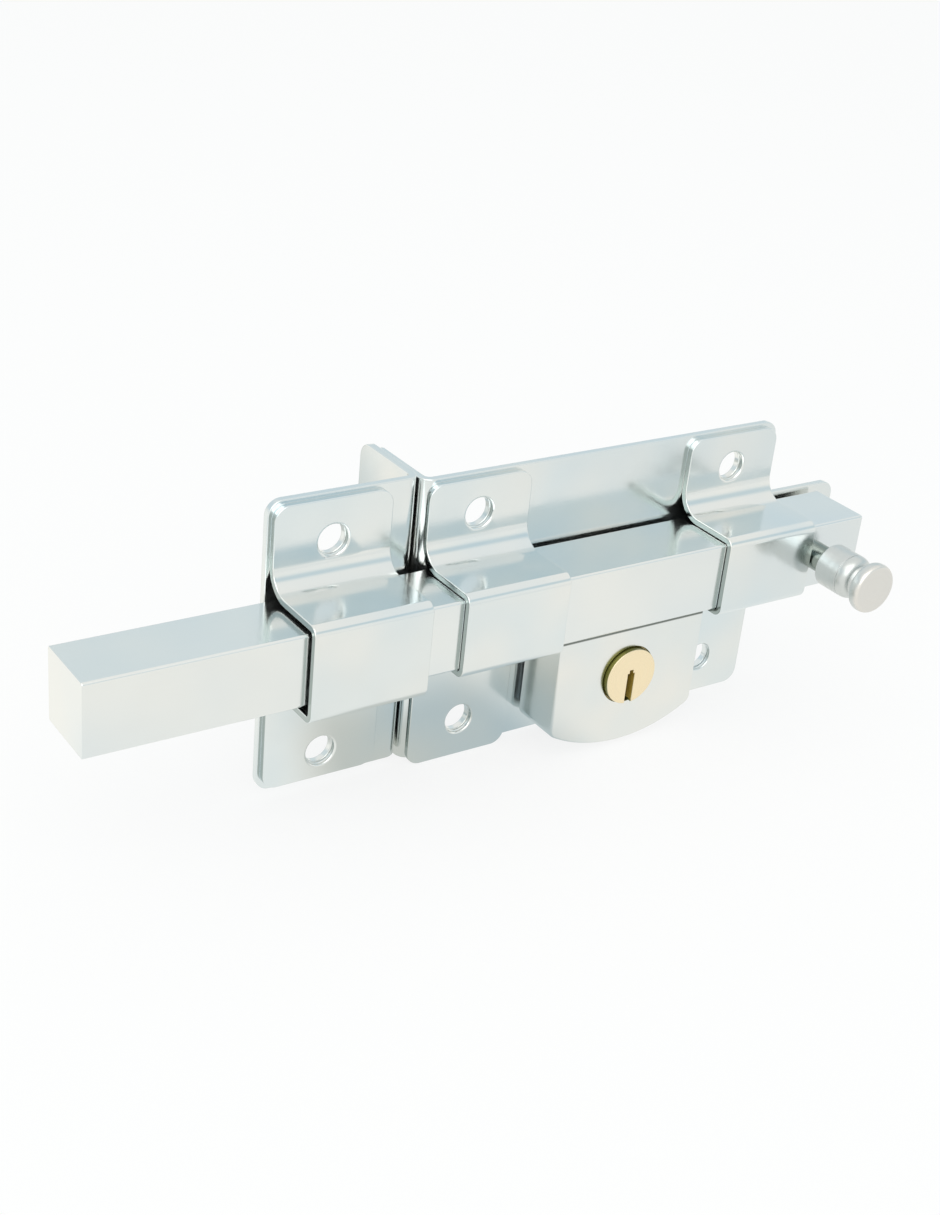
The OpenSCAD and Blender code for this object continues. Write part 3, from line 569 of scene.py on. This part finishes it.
arched_case = merged_copy("lock_case", "arched_case", case_edges, 0.6, 4, CASE_FRONT)
finished(arched_case, plated_casting, "lock", "case", "lock_case")

# %% [markdown]
# ## The key plug
# The plug is turned brass with a milled keyway. Its face is lapped bright. Just behind the
# face a ramp over depth brings in other tints: the plug's side turns dark olive, painted shade
# for the gap round the plug, and the walls of the keyway take a duller brass. Behind the face the
# brass is only partly metallic, so it scatters light, most of all in the keyway. The face's rim
# and the keyway's mouth get a fine rounding.

# %% Key plug
PLUG_FRONT = -19.9
tree = plug_brass.node_tree
place = add(tree, "ShaderNodeTexCoord", {}).outputs["Object"]
depth = add(tree, "ShaderNodeSeparateXYZ", {}, [place]).outputs["Y"]
face_y = PLUG_FRONT * MM
behind_face = add(tree, RANGE, SMOOTH, [depth, face_y + 0.05 * MM, face_y + 0.3 * MM])
flat = add(tree, "ShaderNodeVectorMath", TIMES, [place, (1, 0, 1)])
radius = add(tree, "ShaderNodeVectorMath", {"operation": "LENGTH"}, [flat])
on_side = add(tree, RANGE, SMOOTH, [radius, 7.2 * MM, 7.7 * MM])
# Painted shade: the plug's side is dark olive; the keyway walls take a duller brass.
keyway_tint_and_side_shade = add(tree, MIX, COLOURS,
              {"Factor": on_side, "A": linear("B39A48"), "B": linear("6F6D2D")})
keyway_and_side_metallic = add(tree, RANGE, {}, [on_side, 0.0, 1.0, 0.2, 0.6])
connect(tree, tree.nodes["Principled BSDF"], {
    "Base Color": add(tree, MIX, COLOURS,
                      {"Factor": behind_face, "A": linear(LAPPED_BRASS), "B": keyway_tint_and_side_shade}),
    "Metallic": add(tree, MIX, {}, {"Factor": behind_face, "A": 1.0, "B": keyway_and_side_metallic})})


def plug_edges(middle):
    """Only the edges in the plane of the plug's face."""
    return (middle[:, 1] < PLUG_FRONT + 0.05).astype(float)


key_plug = merged_copy("cylinder_plug", "key_plug", plug_edges, 0.25)
finished(key_plug, plug_brass, "plug", "brass", "cylinder_plug")

# %% [markdown]
# ## The turned knob
# A lathe makes a shape from one outline, and so does this cell: the outline is a list of
# radius and distance from the knob's rear face, revolved about the axis. Short arcs stand
# where the tool rounds an edge. Each circle of the grid is one ring of points, and the two
# ends close on the axis.

# %% Pull knob as a surface of revolution
COLLAR_H, BARREL_R, BARREL_H, SHOULDER_H = 5.9, 6.1, 7.5, 3.2
WAIST_R, WAIST_H, HEAD_R, HEAD_H = 3.6, 2.8, 7.0, 3.4


def quarter(centre, radii, start, end, steps):
    """Points of an ellipse's arc as radius and depth, between two angles in degrees."""
    a = np.radians(np.linspace(start, end, steps))
    return np.stack([centre[0] + radii[0] * np.cos(a), centre[1] + radii[1] * np.sin(a)], 1)


def knob_outline():
    """Barrel with broken edges, groove, dome, hollow waist and a head with a rounded rim."""
    head = BARREL_H + SHOULDER_H + WAIST_H
    rim = 0.4 * HEAD_H
    dome_end = quarter((WAIST_R, BARREL_H + 0.2), (BARREL_R - WAIST_R, SHOULDER_H), 0, 78, 18)
    hollow = quarter((WAIST_R + 1.6, head - 1.1), (1.55, 1.1), 200, 90, 12)
    return np.concatenate([
        [[0, 0], [BARREL_R - 0.6, 0]], quarter((BARREL_R - 0.4, 0.4), (0.4, 0.4), -80, 0, 7),
        [[BARREL_R, BARREL_H - 0.35]],
        quarter((BARREL_R - 0.15, BARREL_H - 0.15), (0.15, 0.15), 0, 70, 4),
        [[BARREL_R - 0.3, BARREL_H]], dome_end, hollow,
        quarter((HEAD_R - 0.9, head + rim), (0.9, rim), -85, 0, 12),
        quarter((HEAD_R - 0.9, head + HEAD_H - rim), (0.9, rim), 5, 90, 12),
        [[0, head + HEAD_H]]])


def turned(name, outline, centre_x, centre_z, rear_y, sides=128):
    """Each outline point (r, d) sweeps the circle (x + r cos a, rear - d, z + r sin a)."""
    a = np.linspace(0, 2 * np.pi, sides + 1)
    r, d = outline[:, :1], outline[:, 1:]
    ring = np.stack([centre_x + r * np.cos(a), rear_y - d + 0 * a, centre_z + r * np.sin(a)], -1)
    piece = mesh_piece(name, ring.reshape(-1, 3), grid_faces(len(outline), sides + 1))
    axis = Vector((centre_x, 0, centre_z)) * MM
    lean = [(p.center - axis) * p.normal for p in piece.data.polygons]
    if sum(v.x + v.z for v in lean) < 0:
        piece.data.flip_normals()
    print(name, "quads:", len(piece.data.polygons), "length in mm:", float(outline[-1, 1]))
    return piece


knob = turned("turned_knob", knob_outline(), KNOB_X, BAR_RISE, BAR_FRONT - COLLAR_H)
finished(knob, satin_knob, "bolt", "knob", "pull_knob")

# %% [markdown]
# ## Coil springs
# A spring is a round wire carried along a helix. For each step along the helix the wire's
# circle stands square to the travel, so it uses two directions: out from the axis, and the
# one square to both travel and outwards. The latch's spring shortens when the key turns.

# %% Springs of the latch and of the pins
def coil(axis_xy, bottom, top, coil_r, wire_r, turns, sides=12, per_turn=40):
    """Helix (R cos t, R sin t, rise t) with the wire's circle r (out cos u + across sin u)."""
    t = np.linspace(0, 2 * np.pi * turns, turns * per_turn + 1)[:, None]
    u = np.linspace(0, 2 * np.pi, sides + 1)
    height = top - bottom - 2 * wire_r
    rate = height / (2 * np.pi * turns)
    out = np.stack([np.cos(t), np.sin(t), 0 * t], -1)
    travel = np.stack([-coil_r * np.sin(t), coil_r * np.cos(t), rate + 0 * t], -1)
    travel = travel / np.linalg.norm(travel, axis=-1, keepdims=True)
    across = np.cross(travel, out)
    centre = np.array([*axis_xy, bottom + wire_r]) + coil_r * out
    centre = centre + np.stack([0 * t, 0 * t, rate * t], -1)
    wire = centre + wire_r * (out * np.cos(u)[None, :, None] + across * np.sin(u)[None, :, None])
    ends = [np.broadcast_to(centre[i], (1, sides + 1, 3)) for i in (0, -1)]
    cloud = np.concatenate([ends[0], wire, ends[1]]).reshape(-1, 3)
    return cloud, grid_faces(len(t) + 2, sides + 1)


SPRING_X, SPRING_Y, LATCH_ROOF, SHOULDER_Z = -13.3, -9.95, 13.9, 3.0
LATCH_COIL_R, LATCH_WIRE_R, SEAT_GAP, LATCH_LIFT = 1.3, 0.25, 0.05, 5.0
PIN_COIL_R, PIN_WIRE_R, PIN_CHAMBERS = 0.6, 0.13, 4
cloud, quads = coil((SPRING_X, SPRING_Y), SHOULDER_Z + SEAT_GAP, LATCH_ROOF - SEAT_GAP,
                    LATCH_COIL_R, LATCH_WIRE_R, 6)
latch_coil = mesh_piece("latch_coil", cloud, quads)
finished(latch_coil, spring_wire, "lock", "spring", "latch_spring")
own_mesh(latch_coil)

low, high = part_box("pin_springs")
reach = PIN_COIL_R + PIN_WIRE_R
pins = np.linspace(high.y / MM - reach, low.y / MM + reach, PIN_CHAMBERS)
clouds, faces, count = [], [], 0
for y in pins:
    cloud, quads = coil((0.0, y), low.z / MM, high.z / MM, PIN_COIL_R, PIN_WIRE_R, 5, 8, 24)
    clouds.append(cloud)
    faces.append(quads + count)
    count += len(cloud)
pin_coils = mesh_piece("pin_coils", np.concatenate(clouds), np.concatenate(faces))
finished(pin_coils, spring_wire, "lock", "spring", "pin_springs")
print("springs:", len(latch_coil.data.polygons), "and", len(pin_coils.data.polygons), "quads")

# %% [markdown]
# ## Finishes of the small parts
# The CAD shapes of the screws, pins, cam, latch and cylinder are right as they are, so they
# only take a finish.

# %% Small parts
small_parts = {
    dull_zinc: ["bolt_stop_pin", "case_back_cover", "case_screws", "driver_pins",
                "cylinder_screws", "plug_cam", "cam_clip", "locking_latch"],
    painted_shade_stud: ["knob_stud"],
    turned_brass: ["cylinder_body", "key_pins", "chamber_cover"],
}
for material, names in small_parts.items():
    for name in names:
        for slot in nodes[name].material_slots:
            slot.material = material
print("small parts finished:", sum(len(n) for n in small_parts.values()))

# %% [markdown]
# ## The studio
# Bright metal shows the room more than itself, so the room is built for its reflections. The
# fronts of bar and case mirror the white table before the lock, and what looks back mirrors its
# lighter rear half. Tops and webs mirror a cool band round the room, which lies higher and is
# bluer on the side that the lock faces, and bends catch the white ceiling above it. The lower
# flanges mirror the table close to the lock, where a painted shadow of the lock lies in two
# grey tones, so that the metal keeps its edges. Only reflections see the painted shadow: for
# the camera the table and the room are white, and the table keeps a faint shadow of the lock.
# Places on the table are in metres.

# %% Tints of the table by place, as metal sees them
def table_tint(tree, spot):
    """Almost white, greyer to the right and lightest behind the lock."""
    greyer = add(tree, RANGE, SMOOTH, [spot["X"], 0.02, 0.15])
    front = add(tree, MIX, COLOURS,
                {"Factor": greyer, "A": linear("F7F8F4"), "B": linear("EDF0EE")})
    behind = add(tree, RANGE, SMOOTH, [spot["Y"], 0.0, 0.05])
    return add(tree, MIX, COLOURS, {"Factor": behind, "A": front, "B": linear("FFFFFA")})


def painted_shadow_share(tree, spot):
    """1 on the painted shadow and 0 off it. It lies left of the plug and close to the lock."""
    slant = add(tree, MATH, {"operation": "MULTIPLY_ADD"}, [spot["Y"], 0.4, spot["X"]])
    left = add(tree, RANGE, SMOOTH, [slant, -0.096, -0.076])
    right = add(tree, RANGE, SMOOTH, [spot["X"], -0.026, 0.000, 1.0, 0.0])
    near = add(tree, RANGE, SMOOTH, [spot["Y"], -0.062, -0.024])
    return add(tree, MATH, TIMES, [add(tree, MATH, TIMES, [left, right]), near])


def painted_shadow_tint(tree, spot):
    """Tint of the painted shadow: a greener grey on the left and a bluer one on the right."""
    bluer = add(tree, RANGE, SMOOTH, [spot["X"], -0.065, -0.035])
    return add(tree, MIX, COLOURS,
               {"Factor": bluer, "A": linear("CCD0CB"), "B": linear("BECBCE")})


print("table tints and painted shadow ready")

# %% Floor
def floor_material():
    """Diffuse table under a veil of light: white for the camera, tinted by place for metal."""
    material = bpy.data.materials.new("pale_studio_floor")
    material.use_nodes = True
    tree = material.node_tree
    tree.nodes.clear()
    rays = add(tree, "ShaderNodeLightPath", {}).outputs
    place = add(tree, "ShaderNodeTexCoord", {}).outputs["Object"]
    spot = add(tree, "ShaderNodeSeparateXYZ", {}, [place]).outputs
    # Painted shadow: metal sees the lock's shadow on the table as a grey patch close to the lock.
    mirrored = add(tree, MIX, COLOURS, {"Factor": painted_shadow_share(tree, spot),
                                        "A": table_tint(tree, spot), "B": painted_shadow_tint(tree, spot)})
    tint = add(tree, MIX, COLOURS,
               {"Factor": rays["Is Camera Ray"], "A": mirrored, "B": linear("FFFFFF")})
    veil = add(tree, RANGE, {}, [rays["Is Camera Ray"], 0.0, 1.0, 0.95, 0.80])
    seen = add(tree, MATH, LARGER, [rays["Is Camera Ray"], rays["Is Glossy Ray"]])
    seen = add(tree, MATH, LARGER, [seen, rays["Is Transmission Ray"]])
    paper = add(tree, "ShaderNodeBsdfDiffuse", {}, {"Color": linear("F4F5F5")})
    glow = add(tree, "ShaderNodeEmission", {}, {"Color": tint, "Strength": 1.0})
    mix = add(tree, "ShaderNodeMixShader", {}, [add(tree, MATH, TIMES, [veil, seen]), paper, glow])
    add(tree, "ShaderNodeOutputMaterial", {}, {"Surface": mix})
    return material


floor_z, reach = cad_low.z / MM, 3000
corners = [(-reach, -reach), (reach, -reach), (reach, reach), (-reach, reach)]
floor = mesh_piece("floor", [(x, y, floor_z) for x, y in corners], [(0, 1, 2, 3)])
floor.data.materials.append(floor_material())
floor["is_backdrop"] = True
print("floor at", round(floor_z, 1), "mm")

# %% World and lamp
world = bpy.data.worlds.new("studio")
bpy.context.scene.world = world
world.use_nodes = True
tree = world.node_tree
tree.nodes.clear()
direction = add(tree, "ShaderNodeTexCoord", {}).outputs["Generated"]
aim = add(tree, "ShaderNodeSeparateXYZ", {}, [direction]).outputs
rays = add(tree, "ShaderNodeLightPath", {}).outputs
in_front = add(tree, RANGE, SMOOTH, [aim["Y"], -0.2, 0.2, 1.0, 0.0])
raised = add(tree, MATH, {"operation": "MULTIPLY_ADD"}, [in_front, -0.17, aim["Z"]])
band = add(tree, MIX, COLOURS,
           {"Factor": in_front, "A": linear("D8E4E8"), "B": linear("CBDCE2")})
walls = add(tree, MIX, COLOURS, {"Factor": add(tree, RANGE, SMOOTH, [raised, 0.06, 0.30]),
                                 "A": linear("F4F6F3"), "B": band})
room = add(tree, MIX, COLOURS, {"Factor": add(tree, RANGE, SMOOTH, [aim["Z"], 0.53, 0.68]),
                                "A": walls, "B": linear("F2F4F2")})
shown = add(tree, MIX, COLOURS,
            {"Factor": rays["Is Camera Ray"], "A": room, "B": linear("FFFFFF")})
light = add(tree, "ShaderNodeBackground", {}, {"Color": shown, "Strength": 1.0})
add(tree, "ShaderNodeOutputWorld", {}, {"Surface": light})


def softbox(name, place_mm, size_mm, watts, tint):
    """A square lamp that faces the lock."""
    lamp = bpy.data.lights.new(name, "AREA")
    lamp.shape, lamp.size, lamp.energy = "SQUARE", size_mm * MM, watts
    lamp.color = linear(tint)[:3]
    holder = bpy.data.objects.new(name, lamp)
    bpy.context.scene.collection.objects.link(holder)
    holder.location = Vector(place_mm) * MM
    holder.rotation_euler = (-holder.location).to_track_quat("-Z", "Y").to_euler()


softbox("key_softbox", (-700, -900, 1100), 1800, 10, "FFFBF5")
scene = bpy.context.scene
scene.view_settings.view_transform = "Standard"

# %% Print the visual box
low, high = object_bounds()
print("visual box in mm:", [round(v / MM, 2) for v in high - low])
